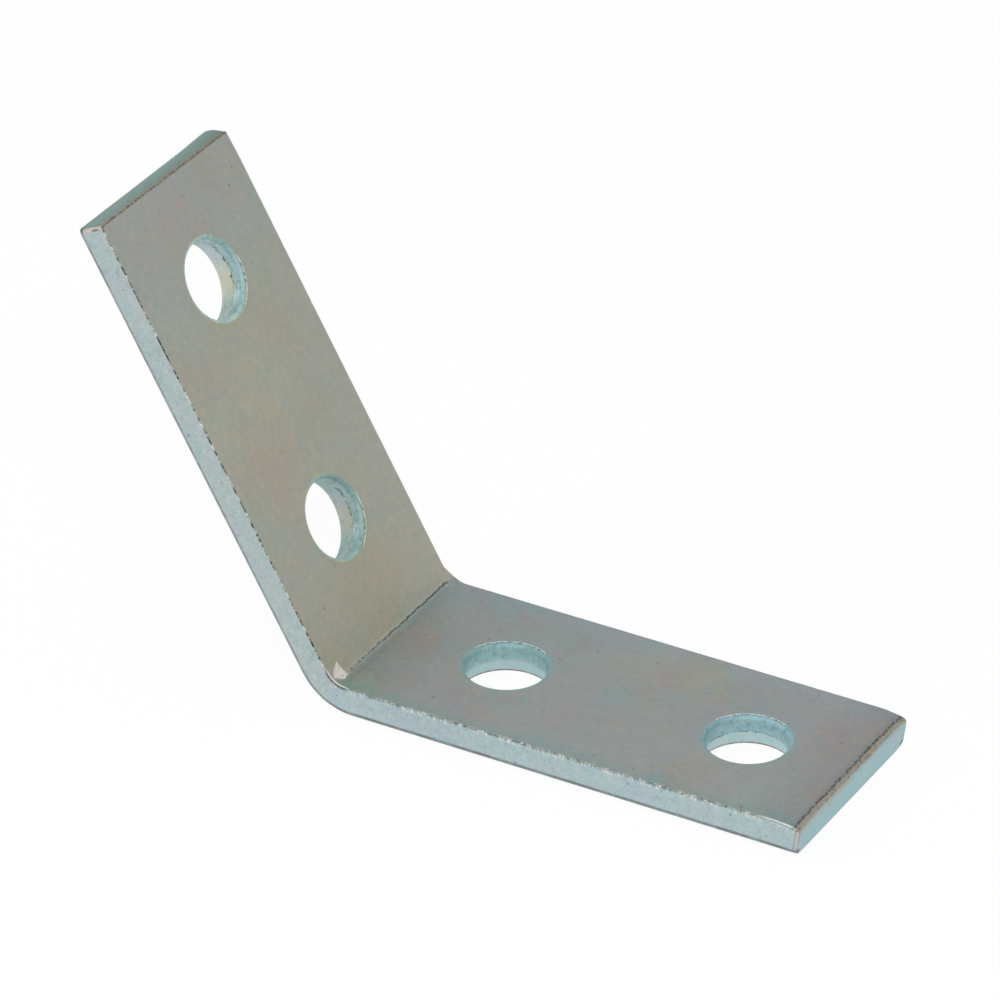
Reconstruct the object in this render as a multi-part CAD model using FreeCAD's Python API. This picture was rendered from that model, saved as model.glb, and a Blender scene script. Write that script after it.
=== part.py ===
import FreeCAD, Part
import math
import os
from collections import namedtuple
from FreeCAD import Vector

# Angle bracket bent from one length of flat steel bar, with two punched holes in each leg.
# Millimetres. +X runs along the flat leg away from the bend, +Y across the bar, +Z up.
# The origin lies on the seat face, under the flat leg, midway between its two holes.

# The bar
bar_width = 41.0
bar_thickness = 6.0
slit_edge_roll = 1.8        # rounding where the slitting blade entered, along the outer face

# The bend
angle_between_legs = 120.0
outer_bend_radius = 12.0    # the stretched metal thins here, so it is rounder than the crease
inner_bend_radius = 1.6     # the crease that the bending tool leaves across the middle
edge_bend_radius = 6.0      # the softer corner at both edges of the bar
edge_flare_length = 3.6     # how far the softer corner runs in from each edge
edge_bulge = 0.3            # how far the squeezed metal stands out past each edge
edge_bulge_reach = 2.5      # radius of that swelling about the inner corner

# The legs, each measured from the sharp corner where the two outer faces would meet
flat_leg_length = 94.7
rising_leg_length = 94.7
end_margin = 20.6           # from the end of a leg to the nearest hole
end_edge_roll = 1.0         # rounding where the shear blade entered
end_undercut = 0.7          # how far a sheared end slants back from that face to the other
end_corner_radius = 1.0     # the blunted corners of each end, seen face on

# The holes, punched from the inner face
hole_pitch = 47.6
bore_diameter = 14.3
mouth_roll = 1.0            # rounding where the punch entered
break_out_width = 0.9       # how much wider the torn part of the wall is at the outer face
break_out_depth = 2.4       # how deep the torn part reaches in from the outer face

OVERRUN = 1.0               # how far a cutter runs past the face that it opens


def unit(angle_degrees):
    """Direction in the side view, turned up from +X."""
    angle = math.radians(angle_degrees)
    return Vector(math.cos(angle), 0, math.sin(angle))


across = Vector(0, 1, 0)
half_width = bar_width / 2
half_angle = math.radians(angle_between_legs / 2)
bisector = unit(angle_between_legs / 2)

first_hole_distance = flat_leg_length - end_margin - hole_pitch
outer_corner = Vector(-first_hole_distance - hole_pitch / 2, 0, 0)
inner_corner = outer_corner + bisector * (bar_thickness / math.sin(half_angle))

# Each leg has its length, the way it runs from the corner, the way its inner face looks, and the
# height above its outer face at which the shear blade entered. One stroke of the shear parts two
# brackets, so the two ends of each are rolled over on opposite faces.
Leg = namedtuple("Leg", "length along inward blade_height")
FLAT = Leg(flat_leg_length, unit(0), unit(90), bar_thickness)
RISING = Leg(rising_leg_length, unit(angle_between_legs), unit(angle_between_legs - 90), 0)
LEGS = (FLAT, RISING)


def on_leg(leg, distance, sideways, height):
    """Point at a distance from the outer corner, above the leg's outer face."""
    return outer_corner + leg.along * distance + across * sideways + leg.inward * height


def polyline(points):
    """Straight edges from each point to the next."""
    return [Part.makeLine(a, b) for a, b in zip(points, points[1:])]


def bend_arc(corner, radius):
    """Arc that rounds a corner of the side view, from the flat leg to the rising leg."""
    reach = radius / math.tan(half_angle)
    middle = corner + bisector * (radius / math.sin(half_angle) - radius)
    return Part.Arc(corner + FLAT.along * reach, middle, corner + RISING.along * reach).toShape()


def bent_bar():
    """The side view of both legs and the bend, run across the bar, with its slit edges rolled."""
    outer_arc = bend_arc(outer_corner, outer_bend_radius)
    inner_arc = bend_arc(inner_corner, inner_bend_radius)
    flat_leg, rising_leg = (
        polyline([
            outer_arc_end,
            on_leg(leg, leg.length, 0, 0),
            on_leg(leg, leg.length, 0, bar_thickness),
            inner_arc_end,
        ])
        for leg, outer_arc_end, inner_arc_end in (
            (FLAT, outer_arc.firstVertex().Point, inner_arc.firstVertex().Point),
            (RISING, outer_arc.lastVertex().Point, inner_arc.lastVertex().Point),
        )
    )
    outline = Part.Wire(Part.sortEdges([outer_arc, inner_arc] + flat_leg + rising_leg)[0])
    bar = Part.Face(outline).extrude(across * bar_width)
    bar.translate(across * -half_width)
    rolled = [
        min(bar.Edges, key=lambda edge: (edge.CenterOfMass - outer_arc.CenterOfMass - side).Length)
        for side in (across * half_width, across * -half_width)
    ]
    return bar.makeFillet(slit_edge_roll, rolled)


def undercut(leg):
    """Wedge that the shear tears off a leg's end, deepest at the face opposite the blade."""
    entry = on_leg(leg, leg.length, -half_width - OVERRUN, leg.blade_height)
    opposite = on_leg(leg, leg.length, -half_width - OVERRUN, bar_thickness - leg.blade_height)
    torn = opposite - leg.along * end_undercut
    past = torn + (torn - entry) * (OVERRUN / bar_thickness)
    outside = opposite + leg.along * OVERRUN
    outline = Part.Wire(polyline([entry, past, outside, entry]))
    return Part.Face(outline).extrude(across * (bar_width + 2 * OVERRUN))


def blunt_corner(leg, side):
    """What is missing at one corner of the end of a leg, seen face on."""
    radius = end_corner_radius
    bow = radius * (1 - math.sqrt(0.5))

    def at(from_end, from_edge):
        return on_leg(leg, leg.length - from_end, side * (half_width - from_edge), -OVERRUN)

    rounding = Part.Arc(at(radius, 0), at(bow, bow), at(0, radius)).toShape()
    outside = polyline([
        at(0, radius),
        at(-OVERRUN, radius),
        at(-OVERRUN, -OVERRUN),
        at(radius, -OVERRUN),
        at(radius, 0),
    ])
    outline = Part.Wire([rounding] + outside)
    return Part.Face(outline).extrude(leg.inward * (bar_thickness + 2 * OVERRUN))


def sheared_end(bar, leg):
    """The bar with one leg's end slanted back, rolled over at the blade's side and blunted."""
    bar = bar.cut(undercut(leg))
    entry = on_leg(leg, leg.length, 0, leg.blade_height)
    entry_edge = min(bar.Edges, key=lambda edge: (edge.CenterOfMass - entry).Length)
    bar = bar.makeFillet(end_edge_roll, [entry_edge])
    return bar.cut([blunt_corner(leg, side) for side in (-1, 1)])


def inner_corner_fill(radius, sideways):
    """Outline of the metal behind an inner corner of the given radius, drawn at one place across."""
    reach = radius / math.tan(half_angle)
    depth = bar_thickness / 2
    corner = inner_corner + across * sideways
    start = corner + RISING.along * reach
    middle = corner + bisector * (radius / math.sin(half_angle) - radius)
    end = corner + FLAT.along * reach
    behind = polyline([
        end,
        end - FLAT.inward * depth,
        corner - bisector * depth,
        start - RISING.inward * depth,
        start,
    ])
    return Part.Wire([Part.Arc(start, middle, end).toShape()] + behind)


def edge_flare(side):
    """The inner corner softening towards one edge of the bar."""
    inside = inner_corner_fill(inner_bend_radius, side * (half_width - edge_flare_length))
    at_edge = inner_corner_fill(edge_bend_radius, side * half_width)
    return Part.makeLoft([inside, at_edge], True, True)


def edge_swelling(side):
    """Shallow dome of squeezed metal on one edge of the bar, at the inner corner."""
    dome_radius = (edge_bulge_reach ** 2 + edge_bulge ** 2) / (2 * edge_bulge)
    centre = inner_corner + across * side * (half_width + edge_bulge - dome_radius)
    dome = Part.makeSphere(dome_radius, centre)
    backing = Part.Face(inner_corner_fill(edge_bend_radius, side * half_width))
    return dome.common(backing.extrude(across * side * (edge_bulge + OVERRUN)))


def punch(leg, distance):
    """Everything that the punch takes out of a leg, at a distance from the outer corner."""
    bore_radius = bore_diameter / 2
    mouth_radius = bore_radius + mouth_roll
    torn_radius = bore_radius + break_out_width
    top = bar_thickness + OVERRUN
    bow = mouth_roll * (1 - math.sqrt(0.5))

    def at(radius, height):
        return on_leg(leg, distance + radius, 0, height)

    land_top = at(bore_radius, bar_thickness - mouth_roll)
    mouth = at(mouth_radius, bar_thickness)
    roll = Part.Arc(land_top, at(bore_radius + bow, bar_thickness - bow), mouth).toShape()
    above = polyline([mouth, at(mouth_radius, top), at(0, top), at(0, -OVERRUN)])
    below = polyline([
        at(0, -OVERRUN),
        at(torn_radius, -OVERRUN),
        at(torn_radius, 0),
        at(bore_radius, break_out_depth),
        land_top,
    ])
    outline = Part.Face(Part.Wire([roll] + above + below))
    return outline.revolve(at(0, 0), leg.inward, 360)


def angle_bracket():
    """The whole bracket: bar, bend, sheared ends, softened crease and punched holes."""
    bar = bent_bar()
    for leg in LEGS:
        bar = sheared_end(bar, leg)
    for side in (-1, 1):
        bar = bar.fuse([edge_flare(side), edge_swelling(side)])
    bar = bar.removeSplitter()
    for leg in LEGS:
        outer_hole = leg.length - end_margin
        bar = bar.cut([punch(leg, distance) for distance in (outer_hole - hole_pitch, outer_hole)])
    return bar.Solids[0]


os.makedirs("parts", exist_ok=True)
angle_bracket().exportStep("parts/angle_bracket.step")
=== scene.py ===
import math

import bpy
import numpy as np
from bpy.props import FloatProperty, FloatVectorProperty, IntProperty, PointerProperty
from mathutils import Matrix, Vector


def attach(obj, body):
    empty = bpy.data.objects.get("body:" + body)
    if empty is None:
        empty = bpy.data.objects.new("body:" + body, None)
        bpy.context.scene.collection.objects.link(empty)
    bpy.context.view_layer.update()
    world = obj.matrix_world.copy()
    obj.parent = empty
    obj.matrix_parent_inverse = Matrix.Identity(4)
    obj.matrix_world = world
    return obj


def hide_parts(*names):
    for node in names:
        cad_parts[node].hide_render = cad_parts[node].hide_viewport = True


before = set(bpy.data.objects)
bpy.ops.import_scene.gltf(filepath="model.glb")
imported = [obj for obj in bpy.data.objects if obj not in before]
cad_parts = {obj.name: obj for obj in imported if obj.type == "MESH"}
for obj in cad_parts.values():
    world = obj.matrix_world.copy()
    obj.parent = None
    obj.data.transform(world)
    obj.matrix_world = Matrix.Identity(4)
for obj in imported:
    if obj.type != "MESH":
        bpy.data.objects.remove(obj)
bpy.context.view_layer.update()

bl_info = {
    "name": "Angle Bracket",
    "version": (1, 0, 0),
    "blender": (4, 5, 0),
    "location": "3D View > Sidebar > Bracket",
    "description": "Punches, shears and bends a zinc plated angle bracket, and lights it",
    "category": "Add Mesh",
}

NODE = "angle_bracket"
MM = 0.001


def size(name, description, millimetres):
    """A length that the user can change, kept in metres."""
    return FloatProperty(
        name=name,
        description=description,
        default=millimetres * MM,
        min=0,
        precision=5,
        subtype="DISTANCE",
        unit="LENGTH",
    )


def fraction(name, description, value):
    """A strength from nothing to full."""
    return FloatProperty(
        name=name, description=description, default=value, min=0, max=1, subtype="FACTOR"
    )


def brightness(name, description, value):
    """How much light a lamp or the sky gives."""
    return FloatProperty(name=name, description=description, default=value, min=0)


def tint(name, description, value):
    """A colour that the user can change."""
    return FloatVectorProperty(
        name=name, description=description, default=value, min=0, max=1, size=3, subtype="COLOR"
    )


class BarSizes(bpy.types.PropertyGroup):
    """The flat bar before it is bent"""

    width: size("Width", "Across the bar", 41)
    thickness: size("Thickness", "Between the two wide faces", 6)
    slit_roll: size("Slit roll", "Rounding of the long edges on the outer face", 1.8)
    flat_leg: size("Flat leg", "From the sharp outer corner to the end of the flat leg", 94.7)
    rising_leg: size("Rising leg", "From the sharp outer corner to the end of the rising leg", 94.7)
    end_roll: size("End roll", "Rounding where the shear blade entered", 1.15)
    end_slant: size("End slant", "How far an end slants back from the rolled face", 0.7)
    near_corner: size("Near corner", "Blunted corners of both ends on the side of -Y, seen face on", 1.2)
    far_corner: size("Far corner", "Blunted corners of both ends on the side of +Y, seen face on", 0.4)
    droop: size("Droop", "How far the shear pulled down the corners of the flat leg's end", 0.6)
    lip: size("Lip", "How far the far corner of the rising leg's end was dragged out", 0.7)


class BendSizes(bpy.types.PropertyGroup):
    """The one bend between the legs"""

    angle: FloatProperty(
        name="Angle",
        description="Between the two legs",
        default=math.radians(120),
        min=math.radians(60),
        max=math.radians(175),
        subtype="ANGLE",
    )
    outer_radius: size("Outer radius", "Round the back, where the metal is stretched", 12)
    inner_radius: size("Inner radius", "Crease across the middle of the bar", 1.6)
    edge_radius: size("Edge radius", "Softer corner at both edges of the bar", 6)
    flare: size("Flare", "How far the softer corner runs in from each edge", 3.6)
    bulge: size("Bulge", "How far the squeezed metal stands out past each edge", 0.28)
    bulge_reach: size("Bulge reach", "Radius of that swelling about the inner corner", 2.5)
    crease: size("Crease", "Depth of the line that the bending tool pressed in", 0.1)


class HoleSizes(bpy.types.PropertyGroup):
    """The punched holes, all alike"""

    bore: size("Bore", "Diameter of the straight burnished wall", 14.3)
    mouth: size("Mouth", "Rounding where the punch entered", 1.0)
    break_out: size("Break-out", "How much wider the torn wall is at the outer face", 0.9)
    break_out_depth: size("Break-out depth", "How deep the torn wall reaches in", 2.4)
    early_tear: size("Early tear", "How much deeper the wall is torn in the rising leg", 1.4)
    pitch: size("Pitch", "Between the two holes of a leg", 47.6)
    end_margin: size("End margin", "From the end of a leg to the nearest hole", 20.6)


class WearSizes(bpy.types.PropertyGroup):
    """Small unevenness that rolling, shearing and handling leave"""

    wave: size("Wave", "Height of the soft waves in the rolled faces", 0.035)
    nick: size("Nick", "Deepest nick in the sharp long edges", 0.22)
    tear: size("Tear", "Raggedness of the torn metal in holes and at ends", 0.35)
    pit: size("Pit", "Depth of the small pits", 0.1)
    seed: IntProperty(name="Seed", description="Picks another set of marks", default=7, min=0)


class FinishTints(bpy.types.PropertyGroup):
    """Colours of the zinc plating and its passivate film, with the painted highlight and the painted
    shade
    """

    grey: tint("Grey", "Dull zinc of the flat leg", (0.385, 0.41, 0.4))
    olive: tint("Olive", "Dull zinc of the rising leg, with a yellower film", (0.455, 0.462, 0.4))
    side: tint("Side", "Slit long edges", (0.42, 0.52, 0.535))
    flat_end: tint("Flat end", "Sheared end of the flat leg", (0.357, 0.526, 0.552))
    rising_end: tint("Rising end", "Sheared end of the rising leg", (0.235, 0.36, 0.345))
    wall: tint("Wall", "Film inside the holes", (0.28, 0.48, 0.5))
    torn: tint("Torn", "Torn lower part of the walls of the holes", (0.5, 0.66, 0.67))
    # Bright is the painted highlight along rims and rounded edges, and also bright flecks of rubbed metal
    bright: tint("Bright", "Rubbed edges that catch the light", (0.95, 0.93, 0.89))
    # Cream is also the painted highlight on the small flat beside the crease
    cream: tint("Cream", "Thick plating on rub marks", (0.88, 0.85, 0.78))
    burr: tint("Burr", "Pinkish metal at the corners of the ends", (0.56, 0.49, 0.45))
    # Shade is the painted shade along the rounded lower edges
    shade: tint("Shade", "Grime along the rounded lower edges", (0.13, 0.15, 0.15))
    tan: tint("Tan", "Thin plating on rounded edges", (0.39, 0.35, 0.275))
    brown: tint("Brown", "Rust showing through at worn edges", (0.18, 0.145, 0.105))
    # Dark is dirt, and also the painted shade in the crease of the bend
    dark: tint("Dark", "Dirt in nicks and cracks", (0.035, 0.04, 0.035))
    metal: fraction("Metal", "How metallic the plating looks", 0.8)


class StageSizes(bpy.types.PropertyGroup):
    """Floor, lamps and camera"""

    floor: size("Floor", "Half the width of the floor", 4000)
    sky: brightness("Sky", "Even light from all around", 0.62)
    key: brightness("Key", "Lamp in front, in watts", 9)
    fill: brightness("Fill", "Lamp on the left, in watts", 5)
    lens: FloatProperty(
        name="Lens", description="Focal length in millimetres", default=239.7, min=10
    )


class BracketSettings(bpy.types.PropertyGroup):
    """Everything that shapes the bracket and its picture"""

    bar: PointerProperty(type=BarSizes, name="Bar", description="The flat bar")
    bend: PointerProperty(type=BendSizes, name="Bend", description="The bend")
    hole: PointerProperty(type=HoleSizes, name="Holes", description="The punched holes")
    wear: PointerProperty(type=WearSizes, name="Wear", description="Marks and unevenness")
    finish: PointerProperty(type=FinishTints, name="Finish", description="The plating")
    stage: PointerProperty(type=StageSizes, name="Stage", description="Floor and camera")


def settings():
    """The sizes and colours as they are set now."""
    return bpy.context.scene.angle_bracket


def both_orders(operation):
    """Two methods of Wire: the operation on the wire and another value, and the other way round."""

    def wire_first(self, other):
        return self._math(operation, self, other)

    def wire_last(self, other):
        return self._math(operation, other, self)

    return wire_first, wire_last


def alone(operation):
    """A method of Wire: the operation on the wire by itself."""
    return lambda self: self._math(operation, self)


class Wire:
    """A socket that can be used in sums, so that node maths reads like maths."""

    def __init__(self, graph, socket):
        self.graph = graph
        self.socket = socket

    def _math(self, operation, *values):
        triple = self.socket.type in ("VECTOR", "RGBA")
        kind = "ShaderNodeVectorMath" if triple else "ShaderNodeMath"
        return self.graph.node(kind, {"operation": operation}, dict(enumerate(values)))

    __add__, __radd__ = both_orders("ADD")
    __sub__, __rsub__ = both_orders("SUBTRACT")
    __mul__, __rmul__ = both_orders("MULTIPLY")
    __truediv__, __rtruediv__ = both_orders("DIVIDE")
    __pow__, __rpow__ = both_orders("POWER")
    at_most = both_orders("MINIMUM")[0]
    at_least = both_orders("MAXIMUM")[0]
    __abs__ = alone("ABSOLUTE")
    sign = alone("SIGN")
    sine = alone("SINE")
    cosine = alone("COSINE")
    root = alone("SQRT")

    def __neg__(self):
        return self * -1.0

    def distance(self, other):
        return self.graph.node(
            "ShaderNodeVectorMath", {"operation": "DISTANCE"}, {0: self, 1: other}, "Value"
        )

    def rise(self, start, end):
        """Runs smoothly from 0 at start to 1 at end, whichever is larger."""
        return self.graph.node(
            "ShaderNodeMapRange",
            {"interpolation_type": "SMOOTHSTEP", "clamp": True},
            {"Value": self, "From Min": start, "From Max": end},
            "Result",
        )

    def band(self, centre, half_width):
        """1 at the centre, and down to 0 at half_width on both sides."""
        return abs(self - centre).rise(half_width, 0.0)

    def fade(self, reach):
        """1 at 0, and down to 0 in a straight line where the reach ends."""
        return (1.0 - self / reach).at_least(0.0)

    def below_zero(self):
        """1 for anything clearly below 0, and 0 for the rest."""
        return (self * -STEEP).at_least(0.0).at_most(1.0)

    def towards(self, other, share):
        """Self where the share is 0, and other where it is 1, for colours."""
        return self.graph.blend(self, other, share)

    def tinged(self, factors, share):
        """This colour, multiplied by three factors where the share is 1."""
        return self * self.graph.blend((1.0, 1.0, 1.0), factors, share)

    def parts(self):
        """The three numbers of a vector."""
        made = self.graph.node("ShaderNodeSeparateXYZ", {}, {"Vector": self}, None)
        return [Wire(self.graph, out) for out in made.outputs]


class Graph:
    """Adds nodes to one tree. Its seed is added to the number of each pattern."""

    seed = 0.0

    def __init__(self, tree):
        self.tree = tree

    def node(self, kind, options, sockets, output=0):
        """A node with its options chosen first, then its sockets, as the wire of one output."""
        made = self.tree.nodes.new(kind)
        for name, value in options.items():
            setattr(made, name, value)
        for name, value in sockets.items():
            self.feed(made.inputs[name], value)
        return made if output is None else Wire(self, made.outputs[output])

    def feed(self, socket, value):
        """Gives a socket a wire or a value of its own."""
        if isinstance(value, Wire):
            self.tree.links.new(value.socket, socket)
        elif socket.type == "RGBA":
            socket.default_value = (*value, 1.0)
        else:
            socket.default_value = value

    def blend(self, a, b, factor):
        """Mix of two colours, by the numbers of the sockets that take and give colours."""
        return self.node("ShaderNodeMix", {"data_type": "RGBA"}, {0: factor, 6: a, 7: b}, 2)

    def plain(self, colour):
        """A colour as a wire, so that it can be tinged."""
        return self.blend(colour, colour, 0.0)

    def vector(self, x, y, z):
        return self.node("ShaderNodeCombineXYZ", {}, {"X": x, "Y": y, "Z": z})

    def noise(self, place, scale, detail, number, roughness=0.5):
        """Cloudy pattern about 0.5. The scale is in features per unit of the place."""
        return self.node(
            "ShaderNodeTexNoise",
            {"noise_dimensions": "4D"},
            {
                "Vector": place,
                "W": self.seed + number,
                "Scale": scale,
                "Detail": detail,
                "Roughness": roughness,
            },
        )

    def spots(self, place, scale, number):
        """Distance to the nearest of many scattered points, in units of their spacing."""
        return self.node(
            "ShaderNodeTexVoronoi",
            {"voronoi_dimensions": "4D"},
            {"Vector": place, "W": self.seed + number, "Scale": scale},
            "Distance",
        )


def lines(*stretches):
    """Grid lines through stretches of (end, spacing), from the first number on."""
    found = [stretches[0]]
    for end, spacing in stretches[1:]:
        start = found[-1]
        count = max(1, round((end - start) / spacing))
        found += list(start + (end - start) * np.arange(1, count + 1) / count)
    return np.array(found)


# How quickly a step between two sides rises, for each metre past it
STEEP = 1e5

# Points nearer to each other than this are joined into one
JOIN_WITHIN = 0.002 * MM

# A forming tree that gives fewer faces than this has failed
FEWEST_FACES = 1000

# Rounding of the sharp long edges where they are least worn, and how much more of it the ends have
LEAST_WEAR = 0.14 * MM
END_WEAR = 0.3 * MM

# Rounding of the sharp edge at the foot of each end, and of the rims on the outer faces
FOOT_WEAR = 0.05 * MM
RIM_WEAR = 0.04 * MM

# How far in from the long edges the swelling beside the crease is felt
SWELL_DEPTH = 1.2 * MM

# How far in from the ends, or from the long edges, each effect of the shear reaches
SLANT_REACH = 9 * MM
DROOP_REACH = 5 * MM
LIP_REACH = 9 * MM

# The square of even cells round each hole, and half its width
CELL = 0.6 * MM
PATCH_CELLS = 42
PATCH = CELL * PATCH_CELLS / 2

# The camera of the photograph: its angles in degrees, a point on the bracket, and how far it stands
# to the right of that point, above it and back from it, as the camera sees it, in millimetres
AZIMUTH, ELEVATION, ROLL = 29.3117, 30.6309, 0.2836
AIM = (-25.083, 0, 20)
STAND = (-0.0268, 16.6183, 1157.52)

# How far the floor lies below the bracket
FLOOR_GAP = 0.05 * MM

# How much of its own white the floor shows, the rest being left to the light and the shadow on it
WHITENESS = 0.93


def half_turn():
    """Angle that each leg turns up from the tangent at the middle of the bend."""
    return (math.pi - settings().bend.angle) / 2


def blank_place(distance):
    """Where a distance from the sharp outer corner lies on the unbent blank."""
    turn = half_turn()
    return distance + settings().bend.outer_radius * (turn - math.tan(turn))


def hole_places():
    """Distance of each hole along the blank, below zero on the rising leg."""
    bar, hole = settings().bar, settings().hole
    places = []
    for side, leg in ((1, bar.flat_leg), (-1, bar.rising_leg)):
        outer = leg - hole.end_margin
        places += [side * blank_place(outer - hole.pitch), side * blank_place(outer)]
    return places


def leg_lines(leg, holes):
    """Grid lines along one leg, from the middle of the bend to the end."""
    near, far = sorted(abs(place) for place in holes)
    end = blank_place(leg)
    return lines(
        0,
        (8 * MM, 0.32 * MM),
        (near - PATCH, 0.6 * MM),
        (near + PATCH, CELL),
        (far - PATCH, 0.6 * MM),
        (far + PATCH, CELL),
        (end - 2.4 * MM, 0.6 * MM),
        (end - 1.2 * MM, 0.3 * MM),
        (end - 0.4 * MM, 0.16 * MM),
        (end, 0.1 * MM),
    )


def plate_mesh():
    """The unbent blank as a closed box of fine cells, open where the holes come."""
    bar = settings().bar
    holes = hole_places()
    flat = leg_lines(bar.flat_leg, holes[:2])
    rising = leg_lines(bar.rising_leg, holes[2:])
    along = np.concatenate([-rising[:0:-1], flat])
    half = lines(
        0,
        (PATCH, CELL),
        (bar.width / 2 - 2.4 * MM, 0.65 * MM),
        (bar.width / 2 - 0.6 * MM, 0.26 * MM),
        (bar.width / 2, 0.1 * MM),
    )
    across = np.concatenate([-half[:0:-1], half])
    height = lines(
        0,
        (0.3 * MM, 0.15 * MM),
        (1.8 * MM, 0.3 * MM),
        (bar.thickness - 1.6 * MM, 0.5 * MM),
        (bar.thickness - 0.6 * MM, 0.25 * MM),
        (bar.thickness, 0.1 * MM),
    )
    shape = (len(along), len(across), len(height))
    outside = np.zeros(shape, bool)
    for axis in range(3):
        for end in (0, -1):
            outside[tuple(end if a == axis else slice(None) for a in range(3))] = True
    middle_along = (along[1:] + along[:-1]) / 2
    middle_across = (across[1:] + across[:-1]) / 2
    in_holes = np.zeros((len(middle_along), len(middle_across)), bool)
    for place in holes:
        in_holes |= np.outer(abs(middle_along - place) < PATCH, abs(middle_across) < PATCH)

    index = np.full(shape, -1)
    index[outside] = np.arange(outside.sum())
    places = np.argwhere(outside)
    points = np.column_stack([line[column] for line, column in zip((along, across, height), places.T)])

    def quads(grid, keep=None):
        faces = np.stack([grid[:-1, :-1], grid[1:, :-1], grid[1:, 1:], grid[:-1, 1:]], -1)
        return faces.reshape(-1, 4) if keep is None else faces[keep]

    solid = ~in_holes
    faces = np.concatenate([
        quads(index[:, :, -1], solid),
        quads(index[:, :, 0], solid)[:, ::-1],
        quads(index[:, 0, :]),
        quads(index[:, -1, :])[:, ::-1],
        quads(index[-1, :, :]),
        quads(index[0, :, :])[:, ::-1],
    ])
    used = np.unique(faces)
    renumber = np.zeros(len(points), int)
    renumber[used] = np.arange(len(used))
    points = points[used]
    mesh = bpy.data.meshes.new("plate")
    mesh.from_pydata(points.tolist(), [], renumber[faces].tolist())
    far = [np.hypot(points[:, 0] - place, points[:, 1]) for place in holes]
    write(mesh, "rim", np.min(far, 0) - settings().hole.bore / 2)
    write(mesh, "from_middle", points[:, 0] - np.array(holes)[np.argmin(far, 0)])
    write(mesh, "wall", np.zeros(len(points)))
    return mesh


def write(mesh, name, values):
    """Keeps a number for each point of the mesh."""
    attribute = mesh.attributes.new(name, "FLOAT", "POINT")
    attribute.data.foreach_set("value", np.asarray(values, np.float32))


def hole_mesh():
    """One punched hole in a square of the blank: mouth, burnished wall and torn wall."""
    bar, hole = settings().bar, settings().hole
    count = 4 * PATCH_CELLS
    step = np.arange(count) / PATCH_CELLS
    side = np.floor(step).astype(int) % 4
    slide = (step - np.floor(step)) * 2 - 1
    square = np.stack([
        np.choose(side, [np.ones(count), -slide, -np.ones(count), slide]),
        np.choose(side, [slide, np.ones(count), -slide, -np.ones(count)]),
    ], -1) * PATCH
    turn = (step - 0.5) * math.pi / 2
    circle = np.stack([np.cos(turn), np.sin(turn)], -1)
    bore = hole.bore / 2
    top, mouth_radius, torn_radius = bar.thickness, bore + hole.mouth, bore + hole.break_out
    depth = hole.break_out_depth
    steps = np.array([4.75, 3.7, 2.8, 2.05, 1.45, 1.0, 0.65, 0.38, 0.18]) / 4.75
    rings = []

    def flat_ring(share_out, radius, height):
        spread = circle * radius * (1 - share_out) + square * share_out
        rings.append((spread, height, 0.0))

    def wall_ring(radius, height, wall):
        rings.append((circle * radius, height, wall))

    for share_out in steps:
        flat_ring(share_out, mouth_radius, top)
    for quarter in np.linspace(0, math.pi / 2, 8):
        wall_ring(
            mouth_radius - hole.mouth * math.sin(quarter),
            top - hole.mouth * (1 - math.cos(quarter)),
            quarter / (math.pi / 2),
        )
    land_top = top - hole.mouth
    for drop in (0.2, 0.4, 0.58, 0.74, 0.87, 0.95, 1.0):
        wall_ring(bore, land_top + (depth - land_top) * drop, 1.0)
    for drop in (0.05, 0.12, 0.25, 0.42, 0.6, 0.78, 0.92, 0.98):
        wall_ring(bore + (torn_radius - bore) * drop, depth * (1 - drop), 1.0)
    wall_ring(torn_radius + RIM_WEAR, 0, 0.4)
    for share_out in steps[::-1]:
        flat_ring(share_out, torn_radius, 0)

    points = np.concatenate([
        np.column_stack([spread, np.full(count, height)]) for spread, height, _ in rings
    ])
    ring = np.arange(count)
    faces = []
    for level in range(len(rings) - 1):
        upper, lower = level * count, (level + 1) * count
        after = (ring + 1) % count
        faces.append(np.stack([upper + ring, upper + after, lower + after, lower + ring], -1))
    mesh = bpy.data.meshes.new("hole")
    mesh.from_pydata(points.tolist(), [], np.concatenate(faces).tolist())
    write(mesh, "rim", np.hypot(points[:, 0], points[:, 1]) - bore)
    write(mesh, "from_middle", points[:, 0])
    write(mesh, "wall", np.repeat([wall for _, _, wall in rings], count))
    return mesh


def new_object(name, data):
    """An object of the scene that shows a mesh, a lamp or a camera."""
    made = bpy.data.objects.new(name, data)
    bpy.context.scene.collection.objects.link(made)
    return made


def rounded(first, second, radius):
    """Two distances from two faces that meet in an edge, with the edge rounded."""
    to_first = first.fade(radius)
    to_second = second.fade(radius)
    # 1 wherever both faces are within the radius
    both = (to_first * to_second * 1e6).at_most(1.0)
    new_first = to_first * (1.0 - to_second * to_second * 0.5).root()
    new_second = to_second * (1.0 - to_first * to_first * 0.5).root()
    first = first + (to_first - new_first) * both * radius
    second = second + (to_second - new_second) * both * radius
    return first, second


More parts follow.
